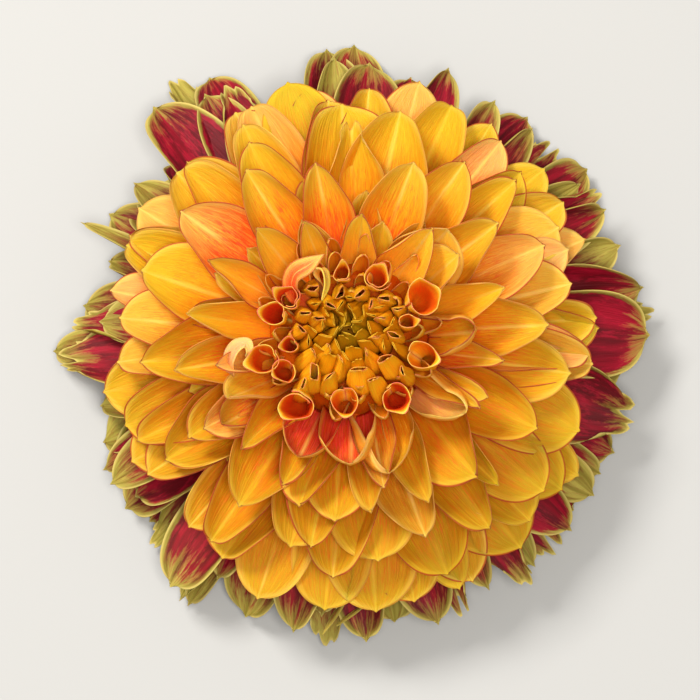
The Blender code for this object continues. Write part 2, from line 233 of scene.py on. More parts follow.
# Turned surfaces, as radius and height over the heart in millimetres, down the outer side. The
# stem's heights are over the surface that the head rests on.
CORE = ((9.5, 28.8), (9.8, 29.4), (17.9, 24.7), (19.0, 21.0), (20.6, 17.0), (23.6, 11.0), (26.0, 5.4),
        (24.0, 4.9), (0.5, 4.9))
PLUG = ((0.2, 31.0), (8.8, 31.0), (8.9, 30.0), (3.6, 12.0), (0.2, 12.0))
DISC = ((0.2, 4.6), (24.0, 4.6), (24.0, -1.0), (18.0, -7.0), (0.2, -7.0))
COLLAR = ((11.8, -7.3), (13.8, -7.3), (13.8, -9.0), (11.8, -9.0), (11.8, -7.3))
STEM = ((0.2, 17.3), (11.0, 17.3), (11.4, 17.1), (11.5, 16.8), (11.5, 13.0), (11.0, 12.2), (9.2, 11.0),
        (6.4, 9.3), (5.2, 8.5), (4.6, 7.6), (4.6, 0.4), (4.4, 0.1), (4.2, 0.0), (0.2, 0.0))

camera_back = Vector((math.sin(LEAN_RIGHT), -math.sin(LEAN_FRONT), 1.0)).normalized()
camera_right = Vector((0, 1, 0)).cross(camera_back).normalized()
camera_up = camera_back.cross(camera_right)
camera_aim = Vector((
    (HALF_PHOTO - BLOOM_MIDDLE[0]) * PIXEL, (BLOOM_MIDDLE[1] - HALF_PHOTO) * PIXEL, AIM_HEIGHT))
camera_place = camera_aim + camera_back * DISTANCE


def to_pixel(x, y, z):
    """Where in the photograph a point of the scene is."""
    seen = Vector((x, y, z)) - camera_place
    scale = DISTANCE / PIXEL / -seen.dot(camera_back)
    return HALF_PHOTO + seen.dot(camera_right) * scale, HALF_PHOTO - seen.dot(camera_up) * scale


def on_dome(px, py, tilt=None):
    """Azimuth, tilt and reach of a tip seen at a pixel, on the dome or at a given tilt."""
    dome_radii = np.array(DOME_REACHES) * MM * np.sin(np.radians(DOME_TILTS))
    x, y = (px - BLOOM_MIDDLE[0]) * PIXEL, (BLOOM_MIDDLE[1] - py) * PIXEL
    for _ in range(12):
        radius = math.hypot(x, y)
        lean = tilt if tilt else math.radians(np.interp(radius, dome_radii, DOME_TILTS))
        reach = np.interp(radius, dome_radii, DOME_REACHES) * MM
        if tilt or lean > 0.3:
            reach = radius / math.sin(lean)
        lean = min(lean, lowest_tilt(reach))
        seen_x, seen_y = to_pixel(x, y, HEART_Z + reach * math.cos(lean))
        x += (px - seen_x) * PIXEL
        y -= (py - seen_y) * PIXEL
    return math.atan2(y, x), lean, reach


def between(ends, share):
    return ends[0] + (ends[1] - ends[0]) * share


def lowest_tilt(reach):
    """The tilt at which a tip that far from the heart just clears the surface."""
    return math.acos(max(-1.0, (LOWEST_TIP - HEART_Z) / reach))


def florets(family, first, rng, step=GOLDEN_ANGLE):
    """The family's florets, one step of azimuth apart, the first one being number first."""
    made = []
    for number in range(family.count):
        share = number / (family.count - 1)
        stray = family.wander * rng.uniform(-1, 1, 5)
        reach = between(family.reach, share) * MM * (1 + STRAY_REACH * stray[0])
        tilt = math.radians(between(family.tilt, share) + STRAY_TILT * stray[1])
        made.append(Floret(
            azimuth=(first + number) * step + math.radians(STRAY_AZIMUTH * stray[2]),
            tilt=min(tilt, lowest_tilt(reach)),
            arch=math.radians(between(family.arch, share)),
            reach=reach,
            width=between(family.width, share) * MM,
            roll=math.radians(between(family.roll, share)) * (1 + STRAY_ROLL * stray[3]),
            flare=between(family.flare, share),
            twist=math.radians(STRAY_TWIST * stray[4]),
            rank=share,
        ))
    return made


def smooth(low, high, x):
    t = np.clip((x - low) / (high - low), 0.0, 1.0)
    return t * t * (3 - 2 * t)


def heading(floret):
    """The way from the heart to a floret's tip."""
    flat = math.sin(floret.tilt)
    return np.array([flat * math.cos(floret.azimuth), flat * math.sin(floret.azimuth), math.cos(floret.tilt)])


def tip_of(floret):
    """Where a floret's tip lies, from the heart."""
    return floret.reach * heading(floret)


def nearest(place, others):
    return min(np.linalg.norm(place - other) for other in others)


# How a petal's finer form strays from its blade. narrow is the power of its tip's outline, beak
# the fold at the tip, ridge the height of its ribs, wave that of its edge and phase where that
# starts. bow bends its middle out and fold turns one edge over, both as angles. skew is how far its
# root stands to one side of its tip, notch and ragged how deep its tip is split, as shares of its
# reach, mucro how long its point is, curl how its edges curl in, left and right how much of its
# roll each side has, and keel the fold of its midrib.
Shape = namedtuple("Shape", "narrow beak ridge wave phase bow skew fold notch ragged mucro curl "
                   "left right keel")
PLAIN = Shape(0.52, 0.30, 0.12 * MM, 0.35 * MM, 0.0, 0.0, 0.0, 0.0, 0.0, 0.0, 0.7 * MM, 0.5, 1.0, 1.0, 0.08)


def outline(along, narrow):
    """The blade's width as a share of its widest, at each share of its reach."""
    at = WIDEN / (WIDEN + narrow)
    widest = at ** WIDEN * (1 - at) ** narrow
    return along ** WIDEN * (1 - along) ** narrow / widest


def unit(ways):
    return ways / np.linalg.norm(ways, axis=-1, keepdims=True)


def go(ways, far):
    """How far each corner of a grid is moved, along the way of its row."""
    return ways[:, None] * far[..., None]


def centre_line(azimuth, tilt, reach, along):
    """Points of a line through the head, its side and its inner face."""
    out = np.stack([np.cos(azimuth), np.sin(azimuth), 0 * azimuth], -1)
    up = np.array([0.0, 0.0, 1.0])
    middle = (np.sin(tilt)[..., None] * out + np.cos(tilt)[..., None] * up) * (reach * along)[..., None]
    run = unit(np.gradient(middle, axis=0))
    side = np.stack([-np.sin(azimuth), np.cos(azimuth), 0 * azimuth], -1)
    side = unit(side - run * np.sum(run * side, -1, keepdims=True))
    return middle, side, np.cross(run, side)


def sheet(middle, normal, half, a, c, edge):
    """Corners of a sheet's upper and under side, with what its material reads at each corner."""
    out = normal * half[..., None]
    return middle + out, middle - out, a + 0 * c, c + 0 * a, edge


def leans(floret, shape, along, across, width):
    """The angle of each strip of a petal across it, at each of its steps."""
    near = (across[1:] + across[:-1]) / 2
    sides = np.where(near < 0, shape.left, shape.right)
    widest_at = WIDEN / (WIDEN + NARROW)
    radius = floret.width / floret.roll * np.maximum(0.3, 1 + floret.flare * (along - widest_at))
    curled = ((1 - shape.curl) * near + shape.curl * near ** 2 * near * 2) * sides
    ends = smooth(0.66, 1.0, along)[:, None]
    theta = curled * (width / 2 / radius)[:, None]
    theta = theta + np.tanh(near / 0.10) * sides * (shape.keel + shape.beak * ends)
    over = smooth(0.05, 0.95, near * np.sign(shape.fold)) * shape.fold
    return theta + over * smooth(0.35, 0.75, along)[:, None]


def relief(shape, a, c):
    """How far a petal's face rises: three ribs and finer ones, and the wave of its edge."""
    ribs = np.exp(-((np.abs(c) - 0.42) / 0.09) ** 2) + 0.8 * np.exp(-(c / 0.05) ** 2)
    ribs = ribs + 0.22 * np.sin(c * 31 + 7 * shape.phase)
    ripple = np.sin(2 * math.pi * (2.1 * a + shape.phase) + 1.3 * np.sign(c))
    raised = -shape.ridge * ribs * smooth(0.40, 0.85, a) * (1 - 0.6 * smooth(0.93, 1, a))
    return raised + shape.wave * ripple * np.abs(c) ** 3 * smooth(0.5, 0.8, a)


def lobes(shape, c):
    """How deep a split or ragged tip is cut, as a share of the reach."""
    cut = np.abs(c) ** 2.5 * 0.05 + shape.notch * np.exp(-((c - 0.1) / 0.15) ** 2)
    return cut + shape.ragged * (0.5 + 0.5 * np.sin(9 * c + 40 * shape.phase)) ** 3


def petal(floret, shape, build):
    """Corners and numbers of a petal, as sheet() gives them."""
    root = build.root / floret.reach
    along = root + (0.9996 - root) * np.sin(np.linspace(0, 1, build.steps + 1) * math.pi / 2)
    across = np.sin(np.linspace(-1, 1, build.strips + 1) * 1.5) / math.sin(1.5)
    a, c = along[:, None], across[None, :]
    bend = shape.bow * np.sin(math.pi * np.clip((along - root) / (1 - root), 0, 1) ** 1.5)
    tilt = floret.tilt - floret.arch * (1 - along) + bend
    azimuth = floret.azimuth + shape.skew * (1 - along) ** 1.5
    middle, side, inward = centre_line(azimuth, tilt, floret.reach, along)
    width = outline(along, shape.narrow)
    rough = shape.notch + shape.ragged > 0
    if rough:
        width = np.maximum(width, 0.5 * smooth(0.75, 0.93, along))
    width = floret.width * width

    theta = leans(floret, shape, along, across, width)
    step = np.diff(across) * width[:, None] / 2
    zero = np.zeros((len(along), 1))
    flat = np.concatenate([zero, np.cumsum(np.cos(theta) * step, 1)], 1)
    lift = np.concatenate([zero, np.cumsum(np.sin(theta) * step, 1)], 1)
    centre = build.strips // 2
    flat -= flat[:, centre:centre + 1]
    lift -= lift[:, centre:centre + 1]
    angle = np.concatenate([theta[:, :1], (theta[:, 1:] + theta[:, :-1]) / 2, theta[:, -1:]], 1)

    sag = floret.reach * lobes(shape, c) * smooth(0.70, 1.0, a) if rough else 0 * a
    sag = sag - shape.mucro * smooth(0.97, 1.0, a) ** 2 * np.exp(-(c / 0.5) ** 2)
    run = np.cross(side, inward)
    turn = (floret.twist * along)[:, None]
    side_way = side * np.cos(turn) + inward * np.sin(turn)
    lift_way = inward * np.cos(turn) - side * np.sin(turn)
    normal = go(lift_way, np.cos(angle)) - go(side_way, np.sin(angle))
    surface = (middle[:, None] + go(side_way, flat) + go(lift_way, lift) - go(run, sag)
               + normal * relief(shape, a, c)[..., None])
    half = build.thickness / 2 * (1 - 0.6 * np.abs(c) ** 6) * (1 - 0.55 * smooth(0.9, 1, a))
    slope = np.abs(np.gradient(width / 2, floret.reach * along))
    edge = (1 - np.abs(c)) * (width / 2 / np.sqrt(1 + slope ** 2))[:, None]
    if rough:
        edge = np.minimum(edge, (1 - a) * floret.reach)
    return sheet(surface, normal, half, a, c, edge)


# A rolled floret: the radii of its root, belly and mouth, where the belly is, how sharply it closes
# above it, its turns, how they grow outwards, how far the outer lip stands over the seam as a share
# of the reach, how far the end leans to the eye, the length of the lip's point, how far the seam is
# drawn in, how many creases it has, where the first is, how flat the faces between them are, how far
# its lips are pressed together, which way, and how it is twisted.
Tube = namedtuple("Tube", "foot belly mouth belly_at closing turns spiral slant bend point heart "
                  "creases first flat press way twist")


def tube(azimuth, tilt, reach, form, build):
    """Corners and numbers of a floret rolled round its own line, as sheet() gives them."""
    root = build.root / reach
    along = root + (1 - root) * np.sin(np.linspace(0, 1, build.steps + 1) * math.pi / 2)
    tilts = tilt + form.bend * (1 - smooth(0.70, 1.02, along))
    middle, side, inward = centre_line(azimuth + 0 * along, tilts, reach, along)
    a, c = along[:, None], np.linspace(-1, 1, build.strips + 1)[None, :]
    low = np.clip((a - root) / (form.belly_at - root), 0, 1) ** 1.4
    high = np.clip((a - form.belly_at) / (1 - form.belly_at), 0, 1) ** form.closing
    radius = form.foot + (form.belly - form.foot) * low + (form.mouth - form.belly) * high
    angle = c * math.pi * form.turns
    radius = radius * (1 + form.spiral * c * low)
    lip = np.exp(-(angle / 0.45) ** 2) * high
    drawn_in = np.exp(-((math.pi - np.abs(angle)) / 0.55) ** 2) * high
    radius = radius * (1 + 0.22 * lip - form.heart * drawn_in)
    part = math.tau / form.creases
    corner = (angle + form.first + form.twist * (a - 0.9) * 8) % part - part / 2
    faces = math.cos(part / 2) / np.cos(corner) * 1.15
    radius = radius * (1 + form.flat * (faces - 1) * smooth(0.70, 0.90, a))
    seam = 0.5 * (1 - np.cos(np.clip(angle, -math.pi, math.pi)))
    back = reach * form.slant * seam * smooth(0.72, 1.0, a) - form.point * lip
    # Its section, pressed together one way and a little wider the other.
    across, out = np.sin(angle) * radius, np.cos(angle) * radius
    sine, cosine = math.sin(form.way), math.cos(form.way)
    thin = (across * sine + out * cosine) * (1 - form.press * high)
    wide = (across * cosine - out * sine) * (1 + 0.30 * form.press * high)
    across, out = thin * sine + wide * cosine, thin * cosine - wide * sine
    toward = go(inward, np.cos(angle)) - go(side, np.sin(angle))
    surface = middle[:, None] + go(side, across) - go(inward, out) - go(np.cross(side, inward), back)
    half = build.thickness / 2 * (1 - 0.5 * smooth(0.93, 1, a)) + 0 * c
    edge = np.minimum((1 - np.abs(c)) * math.pi * form.turns * radius, (1 - a) * reach)
    return sheet(surface, toward, half, a, c, edge)


def curve_through(rows, steps):
    """A smooth curve through rows of numbers."""
    places = np.linspace(0, len(rows) - 1, steps + 1)
    near = np.minimum(places.astype(int), len(rows) - 2)
    part = (places - near)[:, None]
    rows = np.concatenate([2 * rows[:1] - rows[1:2], rows, 2 * rows[-1:] - rows[-2:-1]])
    p0, p1, p2, p3 = (rows[near + number] for number in range(4))
    cubed = part * (3 * p1 - p0 - 3 * p2 + p3)
    return p1 + part / 2 * (p2 - p0 + part * (2 * p0 - 5 * p1 + 4 * p2 - p3 + cubed))


def ribbon(path, build, lean=None):
    """Corners and numbers of a band through places of the photograph: x, y, height over the dome in
    millimetres, width in pixels, its roll round its own line and its curl, both in degrees."""
    rows = []
    for px, py, rise, *rest in path:
        azimuth, tilt, reach = on_dome(px, py, lean)
        rows.append((*tip_of(Floret(azimuth, tilt, 0, reach + rise * MM, 0, 0, 0, 0, 0)), *rest))
    curve = curve_through(np.array(rows), build.steps)
    middle, width = curve[:, :3], np.maximum(curve[:, 3:4], 0.3) * PIXEL
    run = unit(np.gradient(middle, axis=0))
    side = unit(np.cross(run, unit(middle)))
    lift = np.cross(side, run)
    roll = np.radians(curve[:, 4:5])
    across = side * np.cos(roll) + lift * np.sin(roll)
    over = lift * np.cos(roll) - side * np.sin(roll)
    a, c = np.linspace(0.5, 1, build.steps + 1)[:, None], np.linspace(-1, 1, build.strips + 1)[None, :]
    curl = np.radians(np.where(np.abs(curve[:, 5:]) < 1, 1, curve[:, 5:]))
    radius = width / curl
    angle = c * curl / 2
    surface = middle[:, None] + go(across, radius * np.sin(angle)) + go(over, radius * (1 - np.cos(angle)))
    normal = go(over, np.cos(angle)) - go(across, np.sin(angle))
    half = build.thickness / 2 + 0 * angle
    return sheet(surface, normal, half, a, c, (1 - np.abs(c)) * width / 2)


def quads(index):
    """The faces of a grid of corners."""
    return np.stack([index[:-1, :-1], index[1:, :-1], index[1:, 1:], index[:-1, 1:]], -1).reshape(-1, 4)


def cell_places(rows, columns):
    """Places of a grid of corners in a cell of the atlas, with a margin round them."""
    u, v = np.meshgrid(np.linspace(0.04, 0.96, columns), np.linspace(0.04, 0.96, rows))
    return np.stack([u, v], -1).reshape(-1, 2)


def link(name, data):
    made = bpy.data.objects.new(name, data)
    bpy.context.scene.collection.objects.link(made)
    return made


class Piece:
    """Collects the petals of one mesh, with the numbers that their material reads."""

    # shade paints the gold petals, as painted shade above 0 and painted light below 0, and widens their red
    # edge line; on hoods it weakens the lip.
    NUMBERS = ("along", "across", "edge_mm", "upper", "draw", "hue", "flush", "tint", "shade")

    def __init__(self):
        self.places, self.faces, self.numbers, self.cells = [], [], [], []
        self.count, self.used = 0, 0

    def add(self, grid, draw=0.5, hue=0.5, flush=0.5, tint=0.0, shade=0.0):
        upper, under, along, across, edge = grid
        rows, columns = along.shape
        size = rows * columns
        index = np.arange(size).reshape(rows, columns)
        top = quads(index)
        low = quads(index)[:, (0, 3, 2, 1)]
        loop = np.concatenate([index[:, 0], index[-1, 1:], index[-2::-1, -1], index[0, -2:0:-1]])
        after = np.roll(loop, -1)
        rim = np.stack([loop, loop + size, after + size, after], -1)
        self.faces.append(np.concatenate([top, low + size, rim]) + self.count)
        # A cell of the atlas for each side, the rim in a narrow frame round the upper one.
        flat = cell_places(rows, columns)
        framed = 0.5 + (flat - 0.5) * 1.03
        rim_places = np.stack([flat[loop], framed[loop], framed[after], flat[after]], 1)
        self.cells += [(self.used, flat[top]), (self.used + 1, flat[low]), (self.used, rim_places)]
        self.places += [upper.reshape(-1, 3), under.reshape(-1, 3)]
        for face in (1.0, 0.0):
            looks = [number + 0 * along for number in (face, draw, hue, flush, tint, shade)]
            self.numbers.append(np.stack([along, across, edge / MM, *looks], -1).reshape(size, -1))
        self.count += 2 * size
        self.used += 2

    def turned(self, profile, steps, along, upper=1, hue=0.0, flush=0.0, from_heart=0.0):
        """Adds a turned surface from its profile in millimetres, moved up by from_heart. Its edge counts
        as 5 mm away, so that no margin shows on it."""
        profile = (np.array(profile) + (0, from_heart)) * MM
        turn = np.linspace(0, math.tau, steps + 1)
        radius, height = profile[:, :1], profile[:, 1:]
        rows, columns = len(profile), steps + 1
        faces = quads(np.arange(rows * columns).reshape(rows, columns))
        flat = cell_places(rows, columns)
        self.faces.append(faces + self.count)
        self.cells.append((self.used, flat[faces]))
        ring = np.stack([radius * np.cos(turn), radius * np.sin(turn), height + 0 * turn], -1)
        self.places.append(ring.reshape(-1, 3))
        numbers = np.tile((along, 0.0, 5.0, upper, 0.5, hue, flush, 0.0, 0.0), (rows * columns, 1))
        numbers[:, 1] = flat[:, 0] * 12
        self.numbers.append(numbers)
        self.count += rows * columns
        self.used += 1

    def atlas(self):
        """Texture places of all corners, each petal's sides in cells of their own."""
        columns = math.ceil(math.sqrt(self.used))
        rows = math.ceil(self.used / columns)
        return np.concatenate([
            ((group + (cell % columns, cell // columns)) / (columns, rows)).reshape(-1, 2)
            for cell, group in self.cells])

    def make(self, name, material, nodes, slot):
        places = np.concatenate(self.places)
        places[:, 2] = np.maximum(places[:, 2] + HEART_Z, 0.0)
        numbers = np.concatenate(self.numbers)
        faces = np.concatenate(self.faces)
        mesh = bpy.data.meshes.new(name)
        mesh.vertices.add(len(places))
        mesh.vertices.foreach_set("co", places.astype(np.float32).ravel())
        mesh.loops.add(faces.size)
        mesh.loops.foreach_set("vertex_index", faces.astype(np.int32).ravel())
        mesh.polygons.add(len(faces))
        mesh.polygons.foreach_set("loop_start", (np.arange(len(faces)) * 4).astype(np.int32))
        mesh.update(calc_edges=True)
        for column, number in enumerate(self.NUMBERS):
            values = mesh.attributes.new(number, "FLOAT", "POINT")
            values.data.foreach_set("value", numbers[:, column].astype(np.float32))
        uv = mesh.uv_layers.new(name="OFBake")
        uv.data.foreach_set("uv", self.atlas().astype(np.float32).ravel())
        mesh.shade_smooth()
        mesh.materials.append(material)
        made = link(name, mesh)
        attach(made, "root")
        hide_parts(*nodes)


class Value:
    """A number that a node gives, so that a material can be written as sums."""

    def __init__(self, tree, socket):
        self.tree, self.socket = tree, socket

    def __add__(self, other):
        return self.tree.maths("ADD", self, other)

    def __sub__(self, other):
        return self.tree.maths("SUBTRACT", self, other)

    def __rsub__(self, other):
        return self.tree.maths("SUBTRACT", other, self)

    def __mul__(self, other):
        return self.tree.maths("MULTIPLY", self, other)

    def __abs__(self):
        return self.tree.maths("ABSOLUTE", self)


class Tree:
    """A material's node tree."""

    def __init__(self, name):
        self.material = bpy.data.materials.new(name)
        self.material.use_nodes = True
        self.nodes = self.material.node_tree.nodes
        self.shader = self.nodes["Principled BSDF"]
        self.known = {}
        self.body = None

    def put(self, socket, value):
        if isinstance(value, Value):
            self.material.node_tree.links.new(value.socket, socket)
        else:
            socket.default_value = value

    def number(self, name):
        """One of Piece.NUMBERS."""
        if name not in self.known:
            node = self.nodes.new("ShaderNodeAttribute")
            node.attribute_name = name
            self.known[name] = Value(self, node.outputs["Fac"])
        return self.known[name]

    def numbers(self, *names):
        return [self.number(name) for name in names]

    def maths(self, operation, *values):
        node = self.nodes.new("ShaderNodeMath")
        node.operation = operation
        for socket, value in zip(node.inputs, values):
            self.put(socket, value)
        return Value(self, node.outputs[0])

    def below_zero(self, value):
        """How far a number is below 0."""
        return self.maths("MAXIMUM", value * -1.0, 0.0)

    def step(self, value, low, high):
        """0 below low and 1 above high, eased between."""
        node = self.nodes.new("ShaderNodeMapRange")
        node.interpolation_type = "SMOOTHSTEP"
        for name, number in (("Value", value), ("From Min", low), ("From Max", high)):
            self.put(node.inputs[name], number)
        return Value(self, node.outputs[0])

    def mix(self, share, first, second):
        node = self.nodes.new("ShaderNodeMix")
        node.data_type = "RGBA"
        self.put(node.inputs["Factor"], share)
        for name, value in (("A", first), ("B", second)):
            socket = [x for x in node.inputs if x.name == name and x.type == "RGBA"][0]
            self.put(socket, value if isinstance(value, Value) else (*value, 1.0))
        return Value(self, [x for x in node.outputs if x.type == "RGBA"][0])

    def lay(self, share, colour):
        """Covers the body's colour with a share of another."""
        self.body = self.mix(share, self.body, colour)

    def pattern(self, across, along, apart, detail, roughness=0.5):
        """Noise drawn out along the petal, so many times across and along it, another on each."""
        place = self.nodes.new("ShaderNodeCombineXYZ")
        scales = (("across", across), ("along", along), ("draw", apart))
        for socket, (name, scale) in zip(place.inputs, scales):
            self.put(socket, self.number(name) * scale)
        node = self.nodes.new("ShaderNodeTexNoise")
        self.put(node.inputs["Vector"], Value(self, place.outputs[0]))
        for name, value in (("Scale", 1.0), ("Detail", detail), ("Roughness", roughness)):
            self.put(node.inputs[name], value)
        return Value(self, node.outputs["Fac"])

    def broad_streak_fine(self):
        """The three patterns that all petals have."""
        return (self.pattern(3.5, 3.0, 71.0, 2.0), self.pattern(13.0, 4.0, 71.0, 3.0, 0.6),
                self.pattern(42.0, 7.0, 71.0, 2.0, 0.6))

    def bump(self, height, strength, distance):
        node = self.nodes.new("ShaderNodeBump")
        for name, value in (("Strength", strength), ("Distance", distance), ("Height", height)):
            self.put(node.inputs[name], value)
        self.put(self.shader.inputs["Normal"], Value(self, node.outputs[0]))

    def finish(self, colour, roughness, subsurface=0.0, radius=(1.0, 0.5, 0.2), specular=0.4):
        for name, value in (
                ("Base Color", colour), ("Roughness", roughness), ("Specular IOR Level", specular),
                ("Subsurface Weight", subsurface), ("Subsurface Radius", radius),
                ("Subsurface Scale", 0.0012)):
            self.put(self.shader.inputs[name], value)
        return self.material


PETAL_GLOW = (1.0, 0.45, 0.10)
EDGE_RED = (0.36, 0.010, 0.012)


def gold_material():
    t = Tree("gold_petal")
    mix, step, lay = t.mix, t.step, t.lay
    along, across, edge, upper, draw = t.numbers("along", "across", "edge_mm", "upper", "draw")
    hue, flush, tint, shade = t.numbers("hue", "flush", "tint", "shade")
    broad, streak, fine = t.broad_streak_fine()
    spot = t.pattern(20.0, 16.0, 91.0, 4.0, 0.7)
    grain = t.pattern(70.0, 16.0, 37.0, 4.0, 0.75)
    # From the orange of the body to the yellow of the end, each by hue.
    low = mix(step(hue, 0.0, 0.3), (0.84, 0.23, 0.018), (0.76, 0.225, 0.003))
    low = mix(step(hue, 0.3, 0.9), low, (0.52, 0.215, 0.002))
    high = mix(step(hue, 0.0, 0.4), (0.80, 0.30, 0.080), (0.62, 0.345, 0.010))
    high = mix(step(hue, 0.5, 1.0), high, (0.42, 0.30, 0.010))
    t.body = mix(step(along + (streak - 0.5) * 0.25, 0.62, 0.97), low, high)
    lay(step(broad, 0.42, 0.68) * 0.40, high)
    # Painted shade darkens the gold in front, where shade is above 0, and painted light brightens it near the
    # eye, where it is below.
    painted_eye_light = t.below_zero(shade)
    lay(shade * (step(streak, 0.35, 0.65) * 0.45 + 0.30), (0.42, 0.148, 0.002))
    lay(painted_eye_light * 0.7, (0.98, 0.37, 0.006))
    # Veins run along the petal, with a fine grain, darker and paler, between them.
    veins = t.maths("SINE", across * 30.0 + streak * 14.0)
    lay(step(veins, 0.2, 1.0) * 0.16, (0.72, 0.15, 0.004))
    lay(step(grain, 0.50, 0.64) * 0.48, (0.64, 0.10, 0.008))
    straw = mix(step(hue, 0.2, 0.6), (0.91, 0.57, 0.085), (0.76, 0.48, 0.010))
    lay(step(grain, 0.50, 0.36) * 0.38, straw)
    # Orange at the root, partly painted shade where the roots lie deep, and a red flush that climbs from it
    # in streaks.
    climb = along + (0.5 - streak) * 0.55
    lay((1.0 - step(climb, 0.45, 0.76)) * 0.48, (0.86, 0.16, 0.003))
    reach = flush * 0.42 + 0.42
    red = (1.0 - step(climb, reach - 0.13, reach + 0.13)) * step(flush, 0.0, 0.5)
    lay(red * (step(grain, 0.42, 0.60) * 0.62 + 0.30), (0.80, 0.050, 0.008))
    dashes = step(fine, 0.54, 0.66) * (flush * (1.0 - step(along, 0.80, 1.0)))
    lay(dashes * 0.75, (0.76, 0.05, 0.012))
    # Red flecks, mottling beside the midrib, and an orange wash.
    flecks = step(grain, 0.56, 0.68) * step(broad, 0.40, 0.60)
    lay(flecks * 0.60, (0.78, 0.085, 0.006))
    beside = 1.0 - step(abs(across), 0.25, 0.80) * 0.65
    lay(step(spot, 0.52, 0.64) * (beside * (flush + 0.22)), (0.74, 0.065, 0.018))
    wash = step(broad, 0.45, 0.62) * step(hue, 0.4, 0.7)
    lay(wash * (flush + 0.08), (0.62, 0.12, 0.003))
    # Paler and more olive towards the tip, less pale in front under the painted shade, and brightened near
    # the eye as painted light.
    pale = mix(step(hue, 0.0, 0.5), (0.90, 0.46, 0.150), (0.68, 0.45, 0.022))
    lay(step(along, 0.72, 1.0) * (0.50 - shade * 0.30), pale)
    lay(step(along, 0.86, 1.0) * (hue * (0.40 - painted_eye_light * 0.36)), (0.48, 0.36, 0.020))
    lay(painted_eye_light * 0.58, (1.0, 0.52, 0.030))
    # Red all over where tint is above 0, painted shade at the root, deep in the head and on the core, and
    # pale where tint is below.
    crimson_red = mix(step(fine, 0.4, 0.7), (0.55, 0.010, 0.008), (0.90, 0.05, 0.06))
    lay(tint * 0.9 * step(edge, 0.6, 2.0), crimson_red)
    lay(1.0 - step(along, 0.10, 0.45), (0.50, 0.08, 0.002))
    # Pale where tint is below 0: a pale petal, partly a painted highlight.
    lay(t.below_zero(tint), mix(broad, (0.96, 0.62, 0.30), (0.96, 0.84, 0.52)))
    # A pale margin, partly the petal's paler edge and partly a painted highlight where it curls up, a painted
    # highlight along the midrib crease, then the thin red edge.
    margin = (1.0 - step(edge + streak * 1.6, 0.8, 3.0)) * step(along, 0.45, 0.9)
    lay(margin * 0.62, mix(hue, (0.90, 0.58, 0.15), (0.70, 0.47, 0.014)))
    fold = 1.0 - step(abs(across), 0.0, along * 0.07 + 0.04)
    fold = fold * (step(along, 0.45, 0.85) * step(broad, 0.30, 0.60))
    crease_highlight = mix(step(hue, 0.3, 0.7), (0.96, 0.62, 0.14), (0.80, 0.53, 0.030))
    lay(fold * (0.64 - step(hue, 0.4, 0.8) * 0.30), crease_highlight)
    line = (1.0 - step(edge, 0.15, shade * 0.16 + 0.46)) * step(broad, 0.25, 0.42)
    line = line * (step(tint, -0.15, 0.0) * (step(draw, 0.3, 0.6) * 0.55 + 0.45)) * 0.85
    lay(line, EDGE_RED)
    # The back of the petal.
    back = mix(streak, (0.80, 0.40, 0.03), (0.84, 0.26, 0.03))
    back = mix(step(veins, 0.0, 1.0) * 0.35, back, (0.74, 0.17, 0.01))
    back = mix((1.0 - step(edge, 0.2, 1.2)) * 0.6, back, (0.93, 0.62, 0.16))
    back = mix(line, back, EDGE_RED)
    t.bump(fine + streak * 0.6 + veins * 0.25, 0.5, 0.0003)
    return t.finish(mix(1.0 - upper, t.body, back), streak * 0.16 + 0.42,
                    subsurface=0.35, radius=PETAL_GLOW, specular=0.05)


def rolled_material():
    t = Tree("rolled_petal")
    mix, step, lay = t.mix, t.step, t.lay
    along, edge, upper, closed = t.numbers("along", "edge_mm", "upper", "shade")
    hue, flush, tint = t.numbers("hue", "flush", "tint")
    broad, streak, fine = t.broad_streak_fine()
    # Outside: golden yellow, orange lower down, with fine stripes.
    high = mix(hue, (0.90, 0.39, 0.008), (0.74, 0.39, 0.008))
    t.body = mix(step(along + (streak - 0.5) * 0.2, 0.72, 0.92), (0.58, 0.12, 0.001), high)
    lay(step(broad, 0.5, 0.7) * 0.45, (0.95, 0.50, 0.016))
    lay(step(fine, 0.48, 0.64) * 0.55, (0.80, 0.18, 0.003))
    # Inside: orange near the edge, red deeper in, and painted shade lower down the tube.
    deep = step(edge + (streak - 0.5) * 5.0, 1.2, 6.0)
    inside = mix(deep, (0.98, 0.46, 0.012), (0.80, 0.17, 0.003))
    inside = mix(tint * 0.9 * step(edge, 0.6, 2.4), inside, (0.66, 0.022, 0.005))
    inside = mix(1.0 - step(along, 0.50, 0.72), inside, (0.40, 0.040, 0.001))
    inside = mix(step(fine, 0.54, 0.72) * 0.4, inside, (0.72, 0.10, 0.003))
    lay(upper * 0.96, inside)
    # A yellow lip, weaker on hoods, with a thin red line.
    lip = 1.0 - step(edge, 0.30, 1.1)
    lay(lip * (0.85 - closed * 0.45), (0.92, 0.60, 0.10))
    line = (1.0 - step(edge, 0.05, 0.28)) * (step(broad, 0.35, 0.55) * (flush + 0.25))
    lay(line * 0.7, (0.80, 0.10, 0.08))
    t.bump(fine + streak * 0.6, 0.45, 0.0003)
    return t.finish(t.body, streak * 0.16 + 0.46, subsurface=0.25, radius=PETAL_GLOW, specular=0.10)


